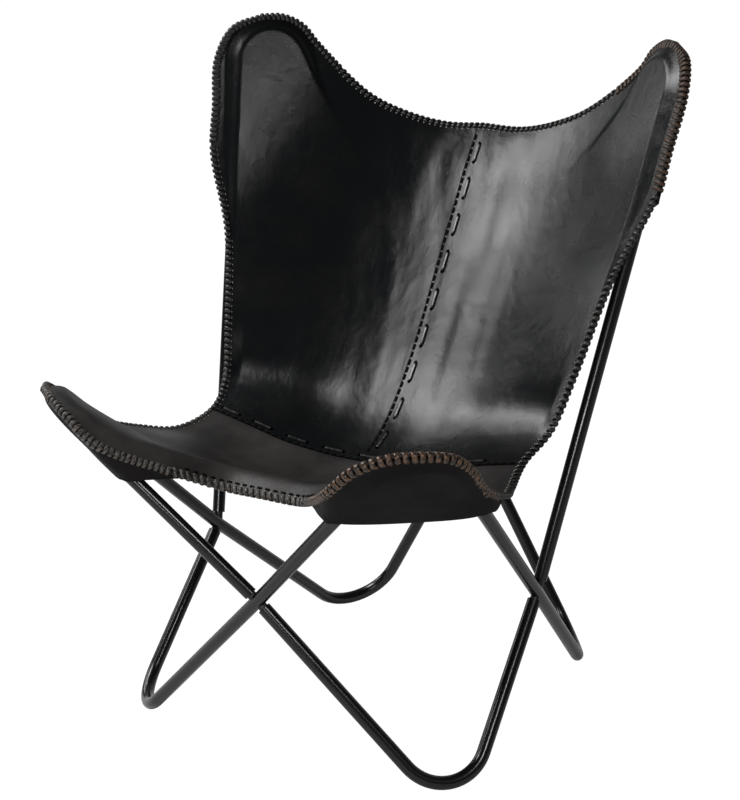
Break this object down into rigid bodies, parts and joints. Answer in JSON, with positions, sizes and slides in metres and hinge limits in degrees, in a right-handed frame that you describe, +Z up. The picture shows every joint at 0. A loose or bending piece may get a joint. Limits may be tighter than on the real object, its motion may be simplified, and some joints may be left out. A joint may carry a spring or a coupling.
{
  "type": "butterfly sling chair",
  "caption": "Low lounge chair: a leather sling with four laced corner pockets hangs over the raised peaks of a crossed bent-tube frame.",
  "frame": {"origin": "on the floor under the middle of the chair's bounding box", "axes": "+Z up, the sitter faces -Y, +X towards the sitter's left hand"},
  "size_m": [0.755, 0.7142, 0.9265],
  "materials": {
    "black_paint": "black stoved enamel, satin gloss",
    "spigot_steel": "black painted steel pin",
    "back_leather": "black finished hide with a satin sheen",
    "seat_leather": "black finished hide with a satin sheen",
    "pocket_leather": "matt very dark brown hide",
    "lace_leather": "dark brown leather thong"
  },
  "bodies": {
    "root": {"right_main_tube": "black_paint", "left_main_tube": "black_paint", "back_left_hoop": "black_paint", "front_right_foot_bow": "black_paint", "seat_panel": "seat_leather", "back_panel_right": "back_leather", "back_panel_left": "back_leather", "front_edge_facing": "seat_leather", "front_cross_upper_spigot": "spigot_steel", "front_cross_lower_spigot": "spigot_steel", "right_cross_upper_spigot": "spigot_steel", "right_cross_lower_spigot": "spigot_steel", "left_cross_upper_spigot": "spigot_steel", "left_cross_lower_spigot": "spigot_steel", "back_cross_upper_spigot": "spigot_steel", "back_cross_lower_spigot": "spigot_steel", "front_left_pocket": "pocket_leather", "front_left_pocket_lace": "lace_leather", "front_right_pocket": "pocket_leather", "front_right_pocket_lace": "lace_leather", "back_left_pocket": "pocket_leather", "back_left_pocket_lace": "lace_leather", "back_right_pocket": "pocket_leather", "back_right_pocket_lace": "lace_leather", "left_edge_lace": "lace_leather", "right_edge_lace": "lace_leather", "front_edge_lace": "lace_leather", "top_edge_lace": "lace_leather"}
  },
  "joints": []
}
